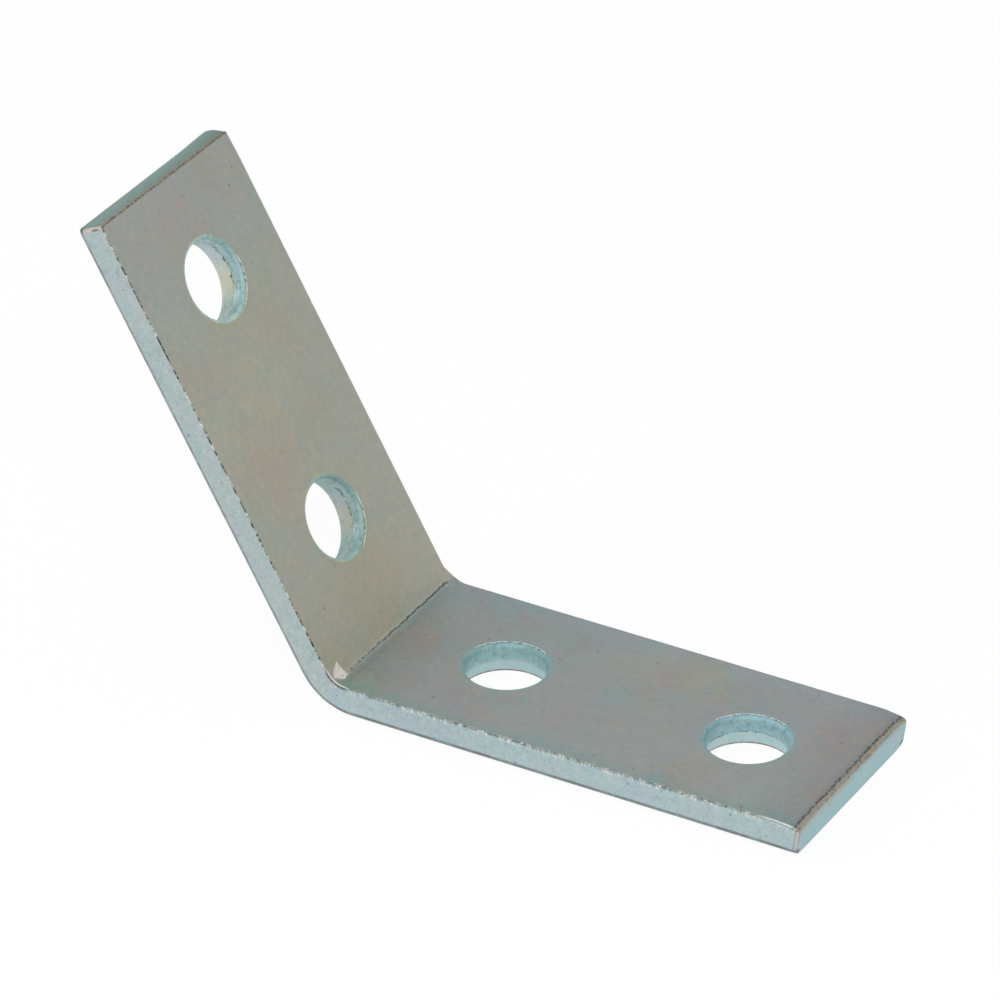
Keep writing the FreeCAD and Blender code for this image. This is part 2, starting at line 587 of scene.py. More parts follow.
class FormingTree(Graph):
    """Geometry nodes that punch, shear, tear, bend and wear the blank, in that order.

    Each size is a named input of the tree, in metres. Patterns are laid out in millimetres.
    """

    def __init__(self, hole_object, material):
        super().__init__(bpy.data.node_groups.new("form_bracket", "GeometryNodeTree"))
        for way in ("INPUT", "OUTPUT"):
            self.tree.interface.new_socket("Geometry", in_out=way, socket_type="NodeSocketGeometry")
        self.start = self.node("NodeGroupInput", {}, {}, None)
        self.values = {}
        chosen = settings()
        bar, bend, hole, wear = chosen.bar, chosen.bend, chosen.hole, chosen.wear
        sizes = (
            (bar, ("width", "thickness", "slit_roll", "end_roll", "end_slant")),
            (bar, ("near_corner", "far_corner", "droop", "lip")),
            (bend, ("outer_radius", "inner_radius", "edge_radius", "flare")),
            (bend, ("bulge", "bulge_reach", "crease")),
            (hole, ("break_out_depth", "early_tear")),
            (wear, ("wave", "nick", "tear", "pit")),
        )
        for group, names in sizes:
            for name in names:
                label = group.bl_rna.properties[name].name
                setattr(self, name, self.input(label, getattr(group, name)))
        self.flat_end = self.input("Flat end", blank_place(bar.flat_leg))
        self.rising_end = self.input("Rising end", blank_place(bar.rising_leg))
        self.turned = self.input("Half turn", half_turn())
        self.corner = self.input("Corner", outer_corner(), "NodeSocketVector")
        self.seed = self.input("Seed", wear.seed, "NodeSocketInt")
        self.hole = self.input("Hole", hole_object, "NodeSocketObject")
        self.material = self.input("Material", material, "NodeSocketMaterial")
        self.blank = self.node(
            "GeometryNodeInputNamedAttribute", {"data_type": "FLOAT_VECTOR"}, {"Name": "blank"}
        )
        self.millimetres = self.blank * (1000.0, 1000.0, 1000.0)
        self.wall = self.node("GeometryNodeInputNamedAttribute", {"data_type": "FLOAT"}, {"Name": "wall"})

    def input(self, name, value, kind="NodeSocketFloat"):
        """A named input of the tree, with the value that this bracket gives it."""
        socket = self.tree.interface.new_socket(name, in_out="INPUT", socket_type=kind)
        self.values[socket.identifier] = value
        return Wire(self, self.start.outputs[name])

    def set_on(self, modifier):
        """Gives a modifier the value of each input."""
        modifier.node_group = self.tree
        for identifier, value in self.values.items():
            modifier[identifier] = value

    def position(self):
        return self.node("GeometryNodeInputPosition", {}, {})

    def moved(self, geometry, place):
        return self.node("GeometryNodeSetPosition", {}, {"Geometry": geometry, "Position": place})

    def joined(self, pieces):
        made = self.node("GeometryNodeJoinGeometry", {}, {}, None)
        for piece in pieces:
            self.tree.links.new(piece.socket, made.inputs[0])
        return Wire(self, made.outputs[0])

    def punch(self):
        """The blank with its four holes, each point of which remembers where it lies on the blank."""
        spots = self.joined([
            self.node("GeometryNodeMeshLine", {}, {"Count": 1, "Start Location": (place, 0, 0)})
            for place in hole_places()
        ])
        pattern = self.node("GeometryNodeObjectInfo", {}, {"Object": self.hole}, "Geometry")
        holes = self.node("GeometryNodeInstanceOnPoints", {}, {"Points": spots, "Instance": pattern})
        holes = self.node("GeometryNodeRealizeInstances", {}, {"Geometry": holes})
        whole = self.joined([Wire(self, self.start.outputs["Geometry"]), holes])
        whole = self.node("GeometryNodeMergeByDistance", {}, {"Geometry": whole, "Distance": JOIN_WITHIN})
        return self.node(
            "GeometryNodeStoreNamedAttribute",
            {"data_type": "FLOAT_VECTOR", "domain": "POINT"},
            {"Geometry": whole, "Name": "blank", "Value": self.position()},
        )

    def shear(self, blank):
        """Slit edges, worn sharp edges and sheared ends, worked out as distances from the faces."""
        along, across, height = self.blank.parts()
        thickness = self.thickness
        side = along.sign()
        on_flat = side.at_least(0.0)
        near = across.below_zero()
        to_end = (self.flat_end - along).at_most(self.rising_end + along)
        to_edge, from_seat = rounded(self.width * 0.5 - abs(across), height, self.slit_roll)

        ragged = self.noise(self.millimetres * (1.0, 0.2, 0.2), 0.55, 3.0, 0.0, 0.65)
        chips = self.noise(self.millimetres * (1.0, 0.2, 0.2), 1.7, 2.0, 3.0, 0.6)
        worn = LEAST_WEAR + self.nick * ragged.rise(0.46, 0.68) * (0.3 + chips) * (0.15 + near * 0.85)
        worn = worn + END_WEAR * to_end.fade(DROOP_REACH)
        to_edge, to_top = rounded(to_edge, thickness - from_seat, worn)

        from_blade = (thickness - to_top) + (to_top * 2.0 - thickness) * on_flat
        to_end, from_blade = rounded(to_end, from_blade, self.end_roll)
        torn_share = from_blade / thickness
        pulled = to_end.fade(DROOP_REACH) * to_edge.fade(DROOP_REACH)
        corner = self.far_corner + (self.near_corner - self.far_corner) * near
        to_end, to_edge = rounded(to_end, to_edge, corner)
        foot = FOOT_WEAR + self.near_corner * on_flat * pulled ** 5.0
        to_end, from_torn = rounded(to_end, thickness - from_blade, foot)
        from_blade = thickness - from_torn

        reach = to_end.fade(SLANT_REACH)
        to_end = to_end + self.end_slant * torn_share * reach
        far_side = to_edge.rise(LIP_REACH, 1.6 * MM) * (1.0 - near)
        dragged = (across / self.width + 0.5) * 0.7 + far_side * 0.3
        dragged = dragged * torn_share.rise(0.0, 0.35) * torn_share.rise(1.0, 0.5)
        to_end = to_end - self.lip * dragged * reach * (1.0 - on_flat)
        from_blade = from_blade + self.droop * on_flat * pulled ** 1.6 * (1.0 - torn_share)

        new_height = from_blade + (thickness - from_blade * 2.0) * on_flat
        end_place = on_flat * self.flat_end + (1.0 - on_flat) * self.rising_end
        new_across = across.sign() * (self.width * 0.5 - to_edge)
        return self.moved(blank, self.vector(side * (end_place - to_end), new_across, new_height))

    def tear_walls(self, sheared):
        """Ragged line between the burnished and the torn wall of each hole."""
        along, across, height = self.position().parts()
        jag = self.noise(self.millimetres * (1.0, 1.0, 0.0), 0.9, 3.0, 5.0, 0.7) - 0.5
        depth = self.break_out_depth
        window = self.wall.rise(0.9, 1.0) * abs(height - depth).fade(depth)
        on_rising = along.below_zero()
        raggedness = self.tear * (2.0 + on_rising * 3.0)
        shift = jag * raggedness + self.early_tear * (0.4 + on_rising * 0.6)
        return self.moved(sheared, self.vector(along, across, height + window * shift))

    def bend(self, flat):
        """The bend, in which the outer and the inner face each follow their own arc."""
        along, across, height = self.position().parts()
        side = along.sign()
        distance = abs(along)
        from_edge = self.width * 0.5 - abs(across)
        softness = from_edge.fade(self.flare) ** 1.4
        radius = self.inner_radius + (self.edge_radius - self.inner_radius) * softness
        cosine, sine = self.turned.cosine(), self.turned.sine()
        outer_length = self.outer_radius * self.turned
        inner_length = outer_length + (self.thickness + radius - self.outer_radius) * sine / cosine

        def arc(radius, centre, length):
            turn = self.turned * (distance / length).at_most(1.0)
            past = (distance - length).at_least(0.0)
            return radius * turn.sine() + past * cosine, centre - radius * turn.cosine() + past * sine

        outer_x, outer_z = arc(self.outer_radius, self.outer_radius / cosine, outer_length)
        inner_x, inner_z = arc(radius, (self.thickness + radius) / cosine, inner_length)
        level = height / self.thickness
        local_x = side * (outer_x + (inner_x - outer_x) * level)
        local_z = outer_z + (inner_z - outer_z) * level
        from_corner = (local_x * local_x + (local_z - self.thickness / cosine) ** 2.0).root()
        swell = (1.0 - (from_corner / self.bulge_reach) ** 2.0).at_least(0.0)
        swell = swell * from_edge.rise(SWELL_DEPTH, 0.0)
        corner_x, _, corner_z = self.corner.parts()
        bent = self.vector(
            corner_x + local_x * cosine + local_z * sine,
            across + across.sign() * swell * self.bulge,
            corner_z - local_x * sine + local_z * cosine,
        )
        return self.moved(flat, bent)

    def wear(self, bent):
        """Waves, pits, the line of the crease and crumbled torn walls, pressed in from the surface."""
        bar, hole = settings().bar, settings().hole
        thick, half_width = bar.thickness / MM, bar.width / 2 / MM
        tear_depth = hole.break_out_depth / MM
        along, across, height = self.millimetres.parts()
        waves = self.noise(self.millimetres, 0.11, 2.0, 11.0)
        waves = waves * self.noise(self.millimetres, 0.31, 1.0, 12.0)
        pits = self.spots(self.millimetres, 0.42, 13.0).rise(0.16, 0.05)
        inner_face = height.rise(thick - 0.3, thick - 0.05)
        line = along.band(0.0, 1.3) * inner_face * (half_width - abs(across)).rise(0.8, 1.8)
        broken = self.noise(self.millimetres * (0.0, 1.0, 0.0), 0.45, 2.0, 14.0).rise(0.36, 0.55)
        torn = self.wall.rise(0.9, 1.0) * (tear_depth - height).rise(-0.1, 0.4) * height.rise(0.1, 1.0)
        crumble = self.noise(self.millimetres, 1.3, 3.0, 15.0, 0.7)
        depth = waves * self.wave + pits * self.pit + line * broken * self.crease
        depth = depth + torn * crumble * self.tear * 0.5
        normal = self.node("GeometryNodeInputNormal", {}, {})
        offset = self.node("ShaderNodeVectorMath", {"operation": "SCALE"}, {0: normal, "Scale": -depth})
        return self.node("GeometryNodeSetPosition", {}, {"Geometry": bent, "Offset": offset})

    def dress(self, worn):
        """The last steps: smooth shading, real points only and the finish."""
        smooth = self.node("GeometryNodeSetShadeSmooth", {}, {"Geometry": worn, "Shade Smooth": True})
        real = self.node("GeometryNodeRealizeInstances", {}, {"Geometry": smooth})
        dressed = self.node(
            "GeometryNodeSetMaterial", {}, {"Geometry": real, "Material": self.material}
        )
        self.node("NodeGroupOutput", {}, {"Geometry": dressed}, None)


def forming_tree(hole_object, material):
    """The whole way from the blank to the bracket."""
    made = FormingTree(hole_object, material)
    made.dress(made.wear(made.bend(made.tear_walls(made.shear(made.punch())))))
    return made


def outer_corner():
    """The sharp corner where the two outer faces would meet, in the part's frame."""
    bar, hole = settings().bar, settings().hole
    first_hole = bar.flat_leg - hole.end_margin - hole.pitch
    return (-first_hole - hole.pitch / 2, 0.0, 0.0)


def beyond(along, across, start, end):
    """Distance to the right of the line from start to end, seen from above."""
    step = Vector(end) - Vector(start)
    step.normalize()
    return (along - start[0]) * step.y - (across - start[1]) * step.x


# Corners, in millimetres, of the small flat that the bending tool rubbed beside the crease, where a
# painted highlight stands for its shine:
# up the bend, seen along the line that halves it, and across the bar
GLINT_CORNERS = ((2.67, -16.8), (1.66, -18.88), (0.68, -19.89), (-0.81, -17.75), (-0.37, -15.83))

# Soft stains in the film of this bracket: how each kind tints the zinc, and where it lies, in
# millimetres along the blank, across it, and its radius
ROSE = (1.04, 0.97, 0.96), (
    (-44, 9, 6), (-60, 9, 5), (-39, -9, 6), (46, -11, 6), (70, -14, 5), (86, 5, 5)
)
RUST = (1.0, 0.955, 0.92), ((-13, 0, 11), (9, -3, 5), (-90, 10, 5))
STRAW = (1.04, 1.03, 0.97), ((-54, -2, 9), (-50, -17, 6), (47, 13, 6), (58, 14, 6))
TEAL = (0.965, 1.03, 1.03), ((-72, -14, 7), (-75, 14, 9), (28, 12, 12), (86, -13, 8), (8, -18, 5))
LILAC = (1.01, 0.975, 1.0), ((-87, -3, 8), (75, 9, 11), (26, -14, 7))


class ZincFinish(Graph):
    """Dull zinc with a thin passivate film, darker in cracks and brighter on sheared metal, with painted
    highlights on rims and edges and painted shade in the crease and along the lower edges.

    Lengths are in millimetres. Each mark is laid over the colour so far, and a share runs from 0,
    where a mark is absent, to 1, where it is full.
    """

    def __init__(self):
        chosen = settings()
        bar, hole = chosen.bar, chosen.hole
        self.tints = chosen.finish
        self.seed = float(chosen.wear.seed)
        self.mouth = hole.mouth / MM
        self.bore_radius = hole.bore / 2 / MM
        self.tear_depth = hole.break_out_depth / MM
        self.material = bpy.data.materials.new("zinc_plated_steel")
        self.material.use_nodes = True
        self.material.node_tree.nodes.clear()
        super().__init__(self.material.node_tree)

        self.blank = self.kept("blank", "Vector") * (1000.0, 1000.0, 1000.0)
        self.place = self.node("ShaderNodeTexCoord", {}, {}, "Object") * (1000.0, 1000.0, 1000.0)
        self.along, self.across, self.height = self.blank.parts()
        self.rim = self.kept("rim", "Fac") * 1000.0
        self.wall = self.kept("wall", "Fac")
        self.flat_leg = self.along.rise(-0.4, 0.4)
        self.rising_leg = 1.0 - self.flat_leg
        flat_end, rising_end = (blank_place(leg) / MM for leg in (bar.flat_leg, bar.rising_leg))
        self.to_end = (flat_end - self.along).at_most(self.along + rising_end)
        self.to_edge = bar.width / 2 / MM - abs(self.across)
        self.to_top = bar.thickness / MM - self.height
        self.near = self.across.rise(0.5, -0.5)
        self.far = 1.0 - self.near
        self.inner_face = self.to_top.rise(0.5, 0.1) * (1.0 - self.wall)
        self.colour = self.blend(self.tints.olive, self.tints.grey, self.flat_leg)
        self.dark = 0.0

    def kept(self, name, output):
        """A number or vector that the mesh keeps for each point."""
        return self.node("ShaderNodeAttribute", {"attribute_name": name}, {}, output)

    def clouds(self, scale, number, start, end):
        """Soft patches, 1 where the noise passes end."""
        return self.noise(self.place, scale, 3.0, number, 0.58).rise(start, end)

    def tinge(self, factors, share):
        """Multiplies the colour by three factors."""
        self.colour = self.colour.tinged(factors, share)

    def cover(self, paint, share):
        """Lays another colour over the colour."""
        self.colour = self.colour.towards(paint, share)

    def darken(self, share):
        """Adds dirt, and the painted shade in the crease, which is laid on last."""
        self.dark = share.at_least(self.dark)

    def film(self):
        """Rose, blue-green and straw clouds over dull zinc, stronger on the flat leg."""
        amount = 0.4 + self.flat_leg * 0.35
        self.tinge((1.07, 0.94, 0.88), self.clouds(0.085, 20.0, 0.5, 0.66) * amount)
        self.tinge((0.88, 1.03, 1.05), self.clouds(0.1, 21.0, 0.5, 0.64) * amount)
        self.tinge((0.98, 0.99, 0.86), self.clouds(0.07, 22.0, 0.52, 0.68) * amount)
        self.tinge((1.0, 0.94, 1.04), self.clouds(0.16, 23.0, 0.52, 0.66) * (amount - 0.2))

    def stains(self):
        """Soft stains with wandering outlines on the inner faces."""
        drift = (self.noise(self.place, 0.14, 3.0, 42.0, 0.6) - 0.5) * 12.0
        flattened = self.vector(self.along, self.across, 0.0)
        for factors, spots in (ROSE, RUST, STRAW, TEAL, LILAC):
            share = 0.0
            for x, y, radius in spots:
                away = flattened.distance((x, y, 0.0)) + drift
                share = away.rise(radius * 1.35, radius * 0.35).at_least(share)
            self.tinge(factors, share * self.inner_face)

    def shades(self):
        """Slow changes of the film along the legs and towards their edges."""
        self.tinge((1.02, 1.0, 0.96), self.along.rise(-26.0, -4.0) * self.rising_leg)
        self.tinge((0.87, 1.0, 0.99), self.to_edge.rise(4.0, 1.0) * self.flat_leg * self.near)
        self.tinge((0.98, 1.02, 1.08), self.to_edge.rise(7.0, 1.0) * self.flat_leg * self.far)
        self.tinge((0.93, 0.88, 0.89), self.to_end.rise(15.0, 3.0) * self.flat_leg)
        self.tinge((0.95, 0.975, 1.04), self.to_end.rise(30.0, 10.0) * self.rising_leg)

    def crystals(self):
        """Fine crystals of the zinc."""
        self.fine = self.noise(self.place, 0.9, 4.0, 25.0, 0.65)
        self.grain = self.noise(self.place, 3.4, 3.0, 26.0, 0.7)
        self.tinge((1.13, 1.06, 0.98), self.fine.rise(0.5, 0.72))
        self.tinge((0.87, 0.94, 0.98), self.fine.rise(0.5, 0.28))

    def rubbed_strip(self):
        """Strip and fan of scratches beside the crease, left by the rubbing of the bending tool."""
        streaks = self.noise(self.blank * (1.0, 0.12, 0.0), 1.9, 3.0, 27.0, 0.6)
        strip = self.along.rise(0.0, 0.6) * self.along.rise(7.5, 3.4) * self.inner_face
        self.tinge((0.91, 0.94, 0.94), strip * (0.2 + 0.8 * streaks.rise(0.45, 0.58)))
        scratches = self.noise(self.blank * (0.35, 1.0, 0.0), 1.3, 3.0, 28.0, 0.6)
        fan = self.along.rise(0.5, 3.5) * self.along.rise(15.0, 6.0) * self.across.rise(-4.0, -13.0)
        self.tinge((0.89, 0.96, 0.95), fan * self.inner_face * scratches.rise(0.4, 0.62))

    def tool_flat_glint(self):
        """Painted highlight on the small flat near the end of the crease, which the bending tool pressed.
        """
        half = settings().bend.angle / 2
        from_corner = self.place - tuple(x / MM for x in outer_corner())
        sideways, _, upwards = from_corner.parts()
        up_bend = upwards * math.cos(half) - sideways * math.sin(half)
        highlit = self.inner_face * self.near
        for start, end in zip(GLINT_CORNERS, GLINT_CORNERS[1:] + GLINT_CORNERS[:1]):
            highlit = highlit * beyond(up_bend, self.across, start, end).rise(0.0, 0.22)
        # Painted highlight in cream over the flat
        self.cover(self.tints.cream, highlit * (0.8 + 0.2 * self.fine.rise(0.4, 0.5)))

    def slit_sides(self):
        """Mottled blue-grey metal of the two long sides."""
        self.slit = self.to_edge.rise(0.3, 0.02) * self.to_top.rise(0.05, 0.3)
        self.mottle = self.noise(self.place, 0.42, 4.0, 30.0, 0.62)
        self.lilac = self.noise(self.place, 0.2, 3.0, 31.0, 0.6)
        side = self.plain(self.tints.side).tinged((1.1, 1.07, 1.04), self.fine.rise(0.5, 0.68))
        side = side.tinged((0.82, 0.9, 0.93), self.fine.rise(0.49, 0.32))
        side = side.tinged((1.22, 1.17, 1.14), self.grain.rise(0.52, 0.78))
        side = side.tinged((0.8, 0.86, 0.87), self.grain.rise(0.48, 0.24))
        side = side.tinged((0.92, 1.02, 1.01), self.mottle.rise(0.5, 0.35))
        side = side.tinged((1.03, 0.97, 1.03), self.lilac.rise(0.5, 0.66))
        side = side.tinged((1.05, 1.0, 0.97), self.rising_leg)
        self.cover(side, self.slit)

    def sheared_ends(self):
        """Blue-green metal of the two ends."""
        self.sheared = self.to_end.rise(0.5, 0.1) * self.slit.rise(1.0, 0.4)
        ends = self.blend(self.tints.rising_end, self.tints.flat_end, self.flat_leg)
        ends = ends.tinged((1.1, 0.98, 1.03), self.lilac.rise(0.5, 0.66))
        ends = ends.tinged((0.86, 1.02, 1.07), self.mottle.rise(0.5, 0.32))
        ends = ends.tinged((1.12, 1.06, 1.02), self.fine.rise(0.5, 0.7))
        self.cover(ends, self.sheared)

    def hole_walls(self):
        """Burnished land above and torn metal below, with the film of each hole."""
        bar, hole = settings().bar, settings().hole
        middle = blank_place(bar.flat_leg - hole.end_margin - hole.pitch / 2) / MM
        by_end = abs(self.along).rise(middle - 5.0, middle + 5.0)
        upper = by_end * self.rising_leg
        lower = (1.0 - by_end) * self.rising_leg
        # The hole of the flat leg nearest the bend tore softly, without a sharp line
        self.soft = (1.0 - by_end) * self.flat_leg
        self.dash = self.noise(self.blank * (1.0, 1.0, 0.3), 1.7, 3.0, 32.0, 0.7)
        self.speck = self.noise(self.blank * (1.0, 1.0, 0.3), 3.4, 2.0, 33.0, 0.7)
        torn = (self.tear_depth - self.height).rise(-0.12 - self.soft * 0.9, 0.12 + self.soft * 0.9)
        land = self.plain(self.tints.wall).tinged((1.13, 1.03, 1.06), self.flat_leg)
        land = land.tinged((1.27, 1.06, 1.0), self.rising_leg)
        land = land.tinged((1.16, 1.12, 1.16), upper)
        land = land.tinged((0.96, 0.97, 0.92), self.soft)
        land = land.tinged((1.25, 1.12, 1.06), self.fine.rise(0.52, 0.68))
        land = land.tinged((0.72, 0.78, 0.8), self.fine.rise(0.48, 0.34))
        land = land.tinged((0.7, 0.7, 0.68), self.speck.rise(0.42, 0.32))
        # The way from a hole's axis to the point: along the blank to the flat end, and across it
        from_axis = self.rim + self.bore_radius
        self.turned = self.kept("from_middle", "Fac") * 1000.0 / from_axis
        self.across_turned = self.across / from_axis
        ragged = self.plain(self.tints.torn).tinged((0.95, 0.83, 0.81), self.rising_leg)
        ragged = ragged.tinged((0.95, 0.97, 1.06), self.turned.rise(0.2, -0.5) * self.rising_leg)
        ragged = ragged.tinged((1.1, 0.99, 0.8), self.turned.rise(-0.3, 0.3) * self.rising_leg)
        ragged = ragged.tinged((0.93, 0.94, 0.95), self.fine.rise(0.5, 0.36))
        ragged = ragged.tinged((0.8, 0.82, 0.84), lower + self.flat_leg * 0.3 + self.soft * 0.35)
        ragged = ragged.tinged((1.08, 1.05, 1.04), upper)
        covered = (self.turned - lower * 0.25).rise(-0.4, -0.9).at_least(self.turned.rise(0.5, 0.85))
        covered = covered * self.rising_leg
        shown = torn * (0.8 + 0.2 * self.mottle) * (1.0 - covered * (0.6 + lower * 0.3))
        metal = land.towards(ragged, shown)
        metal = metal.tinged((0.84, 0.88, 0.86), covered * torn)
        # The wall of the rising leg is torn deeper, so its line lies higher
        over_tear = self.height.band(self.tear_depth + 1.2, 0.9) * self.rising_leg
        metal = metal.tinged((0.9, 0.89, 0.86), over_tear)
        lip = self.height.rise(0.45, 0.15) * (1.0 - self.near * 0.6) * self.flat_leg
        metal = metal.towards(self.tints.brown, lip * (0.5 + 0.4 * self.dash.rise(0.4, 0.55)))
        self.cover(metal, self.wall.rise(0.0, 0.3))

    def hole_rims(self):
        """Painted light on the rolled mouths, the film around them, and a painted highlight along a
        stretch of rim, with dark specks just inside it.
        """
        self.on_mouth = self.wall.rise(0.0, 0.2) * self.to_top.rise(self.mouth, self.mouth * 0.6)
        ring = (self.to_top / self.mouth).band(0.8, 0.5) * self.wall
        # Painted light: the rolled mouths are lightened on the flat leg, and on the near half of the
        # rising leg, to lift the shade that the rolls take
        self.tinge((1.15, 1.12, 1.1), ring * self.flat_leg)
        self.tinge((1.3, 1.25, 1.2), self.on_mouth * self.rising_leg * self.across.rise(6.0, 0.0))
        around = self.rim.rise(2.4, 1.0) * self.inner_face
        self.tinge((0.98, 1.0, 0.94), around * self.rising_leg)
        self.tinge((0.93, 1.03, 1.05), around * self.flat_leg)
        # The stretch of each rim that takes the painted highlight, on a fixed side of the hole
        highlit = (self.turned * 0.5 + self.across_turned * 0.86).rise(0.76, 0.84) * self.rising_leg
        on_flat = (self.across_turned * 0.94 - self.turned * 0.35).rise(0.6, 0.7) * self.flat_leg
        highlit = (highlit + on_flat) * self.to_top.rise(1.6, 1.2)
        # Painted highlight: a thin bright line along the outer edge of the rolled mouth
        line = (self.rim + (self.dash - 0.5) * 0.3).band(self.mouth * 0.93, 0.17) * highlit
        self.cover(self.tints.bright, line * self.dash.rise(0.38, 0.48))
        inside = (self.rim + (self.dash - 0.5) * 0.5).band(self.mouth * 0.7, 0.2) * highlit
        self.darken(inside * self.dash.rise(0.5, 0.4) * 0.8)

    def end_edges(self):
        """Browned metal below the upper edge of both ends, and the rolled edge of the flat one."""
        under = (self.to_top + (self.mottle - 0.5) * 3.0).band(1.0, 1.3) * self.flat_leg
        rising = (self.to_top + (self.mottle - 0.5) * 4.0).rise(2.4, 0.9) * self.rising_leg
        under = (under * (0.5 + self.near * 0.5)).at_least(rising)
        self.tinge((1.07, 0.85, 0.74), under * self.to_end.rise(0.3, 0.0))
        roll = (self.to_end + (self.dash - 0.5) * 0.5).rise(1.0, 0.75) * self.to_top.rise(0.45, 0.2)
        rolled = self.blend(self.tints.tan, self.tints.cream, self.speck.rise(0.48, 0.64) * 0.3)
        rolled = rolled.towards(self.tints.brown, self.fine.rise(0.5, 0.34) * 0.75)
        self.cover(rolled, roll * self.flat_leg * (0.75 + 0.25 * self.mottle))

    def end_corners(self):
        """Burrs and rust at the corners of both ends."""
        upright = self.to_end.rise(0.8, 0.3) * self.to_edge.rise(0.8, 0.3)
        nub = self.height.rise(1.2, 0.4) * 0.4
        from_end, from_side = self.to_end - nub, self.to_edge - nub
        burr = from_end.rise(0.62, 0.36) * from_side.rise(0.62, 0.36) * self.flat_leg
        self.cover(self.tints.burr, burr * (0.35 + 0.4 * self.dash.rise(0.4, 0.55)))
        outline = from_end.band(0.5, 0.16).at_least(from_side.band(0.5, 0.16)) * burr.rise(0.01, 0.1)
        self.cover(self.tints.brown, outline * self.dash.rise(0.34, 0.48) * 0.8)
        corner = upright * self.rising_leg * self.near
        self.facet = corner * (self.to_top + (self.dash - 0.5) * 3.0).rise(6.4, 4.4)
        self.cover(self.tints.burr, self.facet * (0.5 + 0.5 * self.fine.rise(0.42, 0.55)))
        skew = self.to_end - self.to_edge
        edge = ((self.dash - 0.5) * 0.3 - skew).band(0.62, 0.2) * self.to_end.rise(0.7, 0.3) * self.near
        far_corner = upright * self.far * self.to_top.rise(2.0, 0.6)
        self.cover(self.tints.brown, edge.at_least(far_corner) * self.rising_leg * 0.85)
        blot = (self.to_top + (self.dash - 0.5) * 2.0).band(1.8, 1.1) * skew.band(0.4, 0.5)
        blot = blot.at_least(self.height.band(0.9, 0.5) * skew.band(0.0, 0.6))
        self.darken(blot * upright.rise(0.05, 0.3) * self.rising_leg * self.near * 0.8)

    def lower_edges(self):
        """Rust under both ends, and painted shade along the rounded lower edges."""
        under = self.height.rise(0.3, 0.05) * self.to_end.rise(0.6, 0.2) * 0.5
        rising = self.height.band(1.1, 0.45) * self.to_end.rise(0.7, 0.3) * self.rising_leg * 0.8
        self.cover(self.tints.brown, under.at_least(rising) * (0.6 + 0.4 * self.dash.rise(0.35, 0.6)))
        # Painted shade along the rounded lower edges, where they reflect the darker surroundings
        lower_shade = self.height.rise(1.55, 1.1) * self.to_edge.rise(1.6, 1.2)
        amount = 0.3 + self.flat_leg * 0.2 + 0.35 * self.mottle.rise(0.35, 0.6)
        self.cover(self.tints.shade, lower_shade * amount)

    def long_edges(self):
        """Worn upper edges: dashes on the rising leg, squiggles and bright flecks on the flat one, and a
        painted highlight along the smooth near edges.
        """
        by_bend = abs(self.along).rise(6.5, 3.5)
        smooth = self.to_end.rise(9.0, 6.0) * self.to_end.rise(0.4, 1.2) * self.flat_leg
        smooth = by_bend.at_least(smooth) * self.near * self.to_top.rise(0.6, 0.3)
        worn = self.to_edge.rise(0.28 + self.flat_leg * 0.2, 0.08)
        worn = worn * self.to_top.rise(0.28 + self.flat_leg * 0.4, 0.08)
        worn = worn * (0.2 + self.near * 0.8) * (1.0 - smooth)
        stroke = self.noise(self.blank * (1.0, 0.3, 0.3), 0.9, 3.0, 40.0, 0.65)
        squiggle = abs(self.noise(self.place, 0.8, 2.0, 41.0) - 0.5).rise(0.05, 0.02)
        dashes = worn * self.rising_leg
        scrawl = worn * self.flat_leg
        self.cover(self.tints.brown, dashes * stroke.rise(0.46, 0.52) * 0.9)
        # Painted glints between the dashes of the rising leg
        glints = stroke.rise(0.46, 0.4) * self.speck.rise(0.42, 0.52)
        self.cover(self.tints.bright, dashes * glints * 0.75)
        self.cover(self.tints.brown, scrawl * (0.1 + 0.3 * stroke.rise(0.45, 0.55)))
        self.darken(dashes * stroke.rise(0.53, 0.6))
        self.darken(scrawl * squiggle * 0.5)
        flecks = (self.fine * 0.35 + self.speck * 0.65).rise(0.5, 0.56)
        flecks = flecks * self.to_edge.rise(0.6, 0.3) * self.to_top.rise(1.1, 0.4)
        flecks = flecks * self.near * self.flat_leg * (1.0 - smooth) * (1.0 - self.sheared)
        self.cover(self.tints.bright, flecks * 0.5)
        # Painted highlight along the smooth near edges, by the bend and near the flat end
        shine = smooth * self.to_edge.rise(0.05, 0.15) * self.to_edge.rise(0.6, 0.4)
        self.cover(self.tints.bright, shine * (0.6 + 0.4 * self.dash.rise(0.38, 0.5)))
        under_shine = smooth * self.to_edge.rise(0.08, 0.02) * by_bend
        self.darken(under_shine * (0.35 + 0.45 * self.dash.rise(0.4, 0.5)))

    def crease(self):
        """Painted shade in the crease as a dark broken line, a fainter dark line beside it, and a painted
        lighter band across the bend.
        """
        wander = (self.noise(self.blank * (0.0, 1.0, 0.0), 0.7, 4.0, 34.0, 0.75) - 0.5) * 5.0
        broken = self.noise(self.blank * (0.0, 1.0, 0.0), 1.5, 3.0, 35.0, 0.7)
        in_bend = self.inner_face * self.to_edge.rise(0.9, 2.4)
        # Painted shade along the crease
        line = (self.along + wander).band(0.3, 1.25) * in_bend
        self.darken(line * (broken + self.across * 0.005).rise(0.41, 0.5) * 0.95)
        second = (self.along + wander * 0.35).band(4.6, 0.35) * in_bend * self.across.rise(14.0, -4.0)
        self.darken(second * broken.rise(0.47, 0.57) * 0.4)
        # Painted light that lifts the shade in the hollow of the bend
        self.tinge((1.1, 1.1, 1.12), (self.along + wander * 0.2).band(0.8, 2.6) * in_bend)

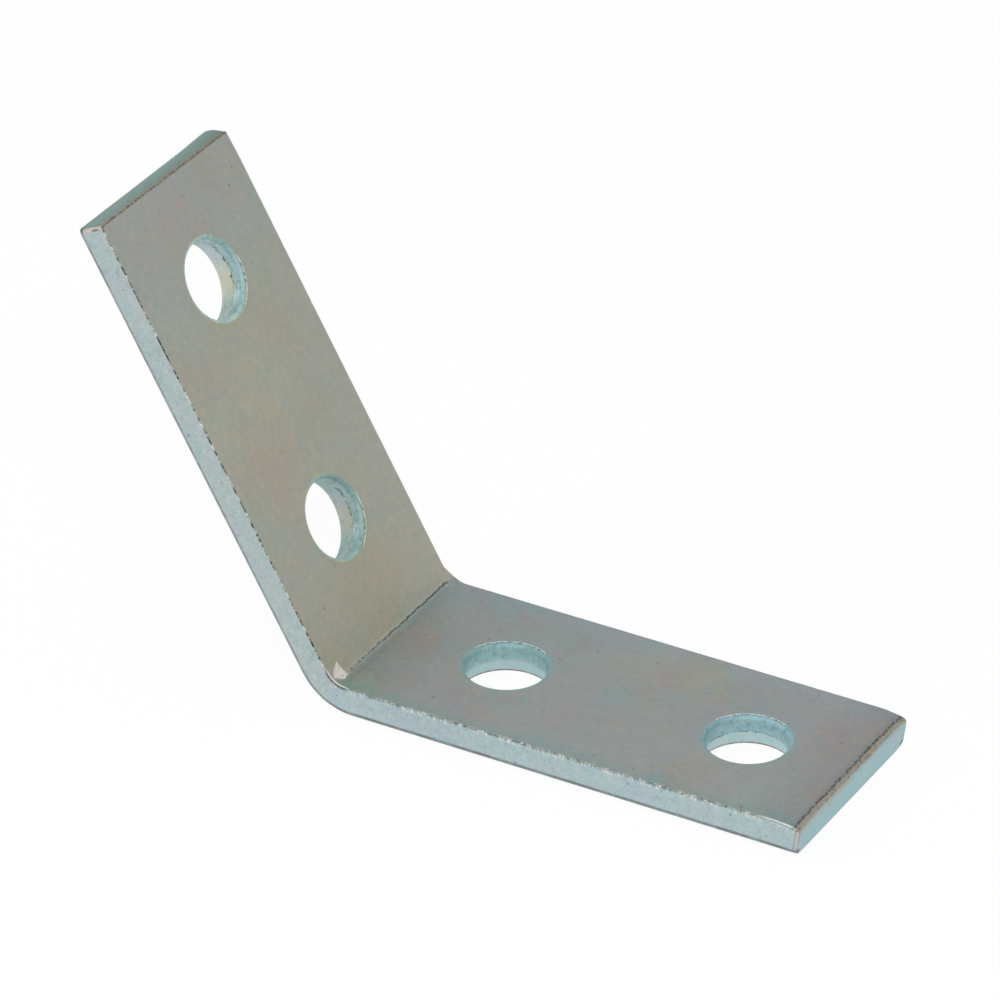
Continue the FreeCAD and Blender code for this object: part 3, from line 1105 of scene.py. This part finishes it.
    def shear_lines(self):
        """Cracked line along the flat end, and the burr along the rising one."""
        self.jag = (self.noise(self.blank * (0.35, 1.0, 0.0), 1.2, 3.0, 36.0, 0.75) - 0.5) * 1.6
        on_flat = self.inner_face * self.flat_leg
        line = (self.to_end + self.jag).band(1.05, 0.5) * on_flat
        self.darken(line * (self.dash * 0.6 + self.speck * 0.4).rise(0.42, 0.52))
        halo = (self.to_end + self.jag * 0.5).rise(2.8, 1.2) * on_flat * self.to_end.rise(0.8, 1.1)
        self.tinge((0.8, 0.85, 0.84), halo * (0.3 + 0.7 * self.dash.rise(0.3, 0.6)))
        burr = (self.to_end + self.jag * 0.15).rise(0.42, 0.2) * self.rising_leg
        burr = burr * (self.to_top + self.jag * 0.2).rise(0.6, 0.3)
        self.cover(self.tints.tan, burr * self.dash.rise(0.3, 0.45))
        self.cover(self.tints.brown, burr * self.dash.rise(0.44, 0.56) * 0.8)
        self.darken(burr * self.speck.rise(0.54, 0.64) * 0.8)

    def tear_lines(self):
        """Dark ragged line between the land and the torn wall of a hole, with bright specks."""
        reach = (0.2 + self.dash.rise(0.5, 0.62) * 0.5) * (1.0 - self.flat_leg * 0.5)
        line = (self.height + self.jag * 0.2).band(self.tear_depth, reach) * self.wall
        line = line * (1.0 - self.soft * 0.8)
        above = (self.across_turned * 0.5 - self.turned * 0.86).rise(-0.3, 0.2).at_least(self.flat_leg)
        self.darken(line * self.dash.rise(0.41, 0.5) * (0.2 + above * 0.75))
        specks = self.spots(self.blank, 1.5, 43.0).rise(0.42, 0.32)
        specks = specks * (self.height + self.jag * 0.4).band(self.tear_depth + 0.5, 1.2) * self.wall
        self.cover(self.tints.bright, specks * (1.0 - above) * 0.8)

    def pits(self):
        """Pits and nicks in the cut metal, and a few faint pits everywhere."""
        cut = self.slit.at_least(self.wall)
        self.darken(self.spots(self.place, 0.45, 37.0).rise(0.15, 0.06) * cut * 0.55)
        self.darken(self.spots(self.place, 0.35, 38.0).rise(0.12, 0.08) * 0.35)
        nicks = self.spots(self.place, 1.1, 39.0).rise(0.22, 0.13) * cut
        self.darken(nicks * self.mottle.rise(0.4, 0.6) * 0.42)

    def shader(self):
        """Dirt and painted shade over the colour so far, and the satin metal under both."""
        self.cover(self.tints.dark, self.dark * 0.85)
        speckled = self.node(
            "ShaderNodeVectorMath",
            {"operation": "SCALE"},
            {0: self.colour, "Scale": 0.87 + self.grain * 0.26},
        )
        rough = 0.48 - self.slit * 0.06 + self.grain * 0.1 - self.wall * 0.06
        rough = rough + self.dark * 0.3 + self.on_mouth * 0.2 + self.facet * (0.1 + 0.3 * self.speck)
        bump = self.node(
            "ShaderNodeBump",
            {},
            {"Strength": 0.3, "Distance": 0.0001, "Height": self.grain + self.fine},
        )
        shader = self.node(
            "ShaderNodeBsdfPrincipled",
            {},
            {"Base Color": speckled, "Roughness": rough, "Metallic": self.tints.metal, "Normal": bump},
        )
        self.node("ShaderNodeOutputMaterial", {}, {"Surface": shader}, None)


def zinc_material():
    """The finish, laid on from the film down to the last pit."""
    finish = ZincFinish()
    finish.film()
    finish.stains()
    finish.shades()
    finish.crystals()
    finish.rubbed_strip()
    finish.tool_flat_glint()
    finish.slit_sides()
    finish.sheared_ends()
    finish.hole_walls()
    finish.hole_rims()
    finish.end_edges()
    finish.end_corners()
    finish.lower_edges()
    finish.long_edges()
    finish.crease()
    finish.shear_lines()
    finish.tear_lines()
    finish.pits()
    finish.shader()
    return finish.material


class BRACKET_OT_form(bpy.types.Operator):
    """Punch, shear and bend the bar"""

    bl_idname = "bracket.form"
    bl_label = "Form the bracket"

    def execute(self, context):
        material = zinc_material()
        hole = new_object("hole_pattern", hole_mesh())
        blank = new_object("blank", plate_mesh())
        forming = forming_tree(hole, material)
        forming.set_on(blank.modifiers.new("forming", "NODES"))
        context.view_layer.update()
        seen = blank.evaluated_get(context.evaluated_depsgraph_get())
        mesh = bpy.data.meshes.new_from_object(seen)
        mesh.name = "formed_bracket"
        blank.modifiers.clear()
        bpy.data.objects.remove(blank)
        bpy.data.objects.remove(hole)
        if len(mesh.polygons) < FEWEST_FACES:
            raise RuntimeError("the forming tree returned no bracket")
        bracket = new_object("formed_bracket", mesh)
        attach(bracket, "root")
        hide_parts(NODE)
        return {"FINISHED"}


def seen_directly(graph):
    """1 for rays from the camera, a reflection or glass, 0 for those that gather soft light."""
    path = graph.node("ShaderNodeLightPath", {}, {}, None)
    camera, glossy, clear = (
        Wire(graph, path.outputs[name])
        for name in ("Is Camera Ray", "Is Glossy Ray", "Is Transmission Ray")
    )
    return camera.at_least(glossy).at_least(clear)


def floor_material():
    """Matt white floor that is seen as plain white and still keeps a soft shadow."""
    material = bpy.data.materials.new("white_floor")
    material.use_nodes = True
    material.node_tree.nodes.clear()
    graph = Graph(material.node_tree)
    matt = graph.node("ShaderNodeBsdfDiffuse", {}, {"Color": (0.9, 0.9, 0.9)})
    white = graph.node("ShaderNodeEmission", {}, {"Color": (1.0, 1.0, 1.0), "Strength": 1.0})
    mixed = graph.node(
        "ShaderNodeMixShader", {}, {"Fac": seen_directly(graph) * WHITENESS, 1: matt, 2: white}
    )
    graph.node("ShaderNodeOutputMaterial", {}, {"Surface": mixed}, None)
    return material


def add_lamp(name, place, width, power):
    """A soft white lamp, turned to the middle of the bracket."""
    aim = Vector((-30, 0, 30)) * MM
    data = bpy.data.lights.new(name, "AREA")
    data.shape = "RECTANGLE"
    data.size = width
    data.size_y = width * 0.7
    data.energy = power
    lamp = new_object(name, data)
    lamp.location = place
    lamp.rotation_euler = (aim - lamp.location).to_track_quat("-Z", "Y").to_euler()


class BRACKET_OT_stage(bpy.types.Operator):
    """Lay the floor and set the lamps and the camera"""

    bl_idname = "bracket.stage"
    bl_label = "Set the stage"

    def execute(self, context):
        sizes = settings().stage
        scene = context.scene
        scene.view_settings.view_transform = "Standard"
        half = sizes.floor
        mesh = bpy.data.meshes.new("floor")
        level = -FLOOR_GAP
        corners = [(-half, -half, level), (half, -half, level), (half, half, level), (-half, half, level)]
        mesh.from_pydata(corners, [], [(0, 1, 2, 3)])
        mesh.materials.append(floor_material())
        floor = new_object("floor", mesh)

        world = bpy.data.worlds.new("studio")
        world.use_nodes = True
        background = world.node_tree.nodes["Background"]
        background.inputs["Color"].default_value = (1.0, 1.0, 1.0, 1.0)
        background.inputs["Strength"].default_value = sizes.sky
        scene.world = world

        add_lamp("key", (0.5, -0.9, 1.1), 0.6, sizes.key)
        add_lamp("fill", (-0.9, -0.5, 0.8), 0.8, sizes.fill)
        self.camera(context, sizes.lens)
        return {"FINISHED"}

    def camera(self, context, lens):
        """Sets the camera where the photograph was taken from."""
        azimuth, elevation, roll = (math.radians(x) for x in (AZIMUTH, ELEVATION, ROLL))
        back = Vector((
            math.sin(azimuth) * math.cos(elevation),
            -math.cos(azimuth) * math.cos(elevation),
            math.sin(elevation),
        ))
        right = Vector((0, 0, 1)).cross(back).normalized()
        up = back.cross(right)
        turned_right = right * math.cos(roll) + up * math.sin(roll)
        turned_up = up * math.cos(roll) - right * math.sin(roll)
        turn = Matrix((turned_right, turned_up, back)).transposed()
        data = bpy.data.cameras.new("camera")
        data.sensor_width = 36
        data.lens = lens
        data.clip_start = 0.05
        data.clip_end = 20
        camera = new_object("camera", data)
        place = Vector(AIM) * MM + turn @ (Vector(STAND) * MM)
        camera.matrix_world = Matrix.Translation(place) @ turn.to_4x4()
        context.scene.camera = camera


class BRACKET_PT_panel(bpy.types.Panel):
    """Sizes and colours of the angle bracket"""

    bl_idname = "BRACKET_PT_panel"
    bl_label = "Angle Bracket"
    bl_space_type = "VIEW_3D"
    bl_region_type = "UI"
    bl_category = "Bracket"

    def draw(self, context):
        chosen = context.scene.angle_bracket
        for name in ("bar", "bend", "hole", "wear", "finish", "stage"):
            box = self.layout.box()
            box.label(text=name.capitalize())
            group = getattr(chosen, name)
            for field in group.bl_rna.properties:
                if field.identifier not in ("rna_type", "name"):
                    box.prop(group, field.identifier)
        for operator in STEPS:
            self.layout.operator(operator.bl_idname)


GROUPS = (BarSizes, BendSizes, HoleSizes, WearSizes, FinishTints, StageSizes, BracketSettings)
STEPS = (BRACKET_OT_form, BRACKET_OT_stage)
CLASSES = (*GROUPS, *STEPS, BRACKET_PT_panel)


def register():
    for made in CLASSES:
        bpy.utils.register_class(made)
    bpy.types.Scene.angle_bracket = PointerProperty(type=BracketSettings)


def unregister():
    del bpy.types.Scene.angle_bracket
    for made in reversed(CLASSES):
        bpy.utils.unregister_class(made)


def main():
    register()
    bpy.ops.bracket.form()
    bpy.ops.bracket.stage()


if __name__ == "__main__":
    main()
